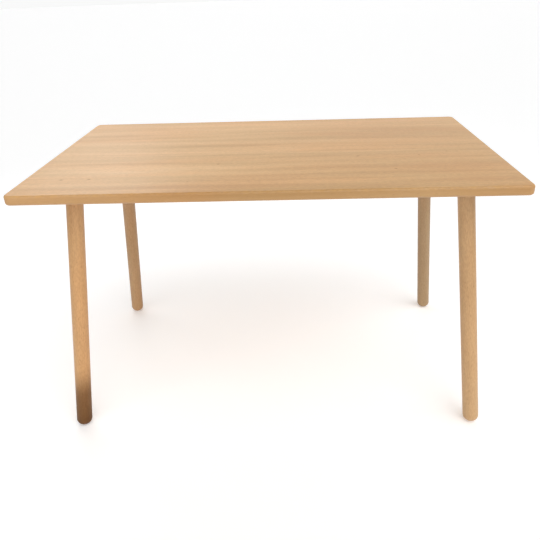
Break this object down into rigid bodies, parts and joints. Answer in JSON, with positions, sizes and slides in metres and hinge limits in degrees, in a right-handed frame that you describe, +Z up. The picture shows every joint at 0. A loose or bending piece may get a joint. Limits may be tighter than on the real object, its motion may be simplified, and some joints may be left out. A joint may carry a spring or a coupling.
{
  "type": "miniature dining table",
  "caption": "Miniature dining table: a thin rectangular wooden board with softened edges on splayed round dowel legs with domed feet, held by blind dowel pins.",
  "frame": {"origin": "on the surface that the feet stand on, under the middle of the board", "axes": "+X along the length of the board, +Y across it towards the back edge, +Z up, out of the table's top face"},
  "size_m": [0.21, 0.1224, 0.125],
  "materials": {
    "board_wood": "satin",
    "leg_wood": "satin",
    "pin_wood": "matte"
  },
  "bodies": {
    "root": {"table_board": "board_wood", "leg_front_left": "leg_wood", "leg_front_right": "leg_wood", "leg_back_left": "leg_wood", "leg_back_right": "leg_wood", "dowel_pin_front_left": "pin_wood", "dowel_pin_front_right": "pin_wood", "dowel_pin_back_left": "pin_wood", "dowel_pin_back_right": "pin_wood"}
  },
  "joints": []
}
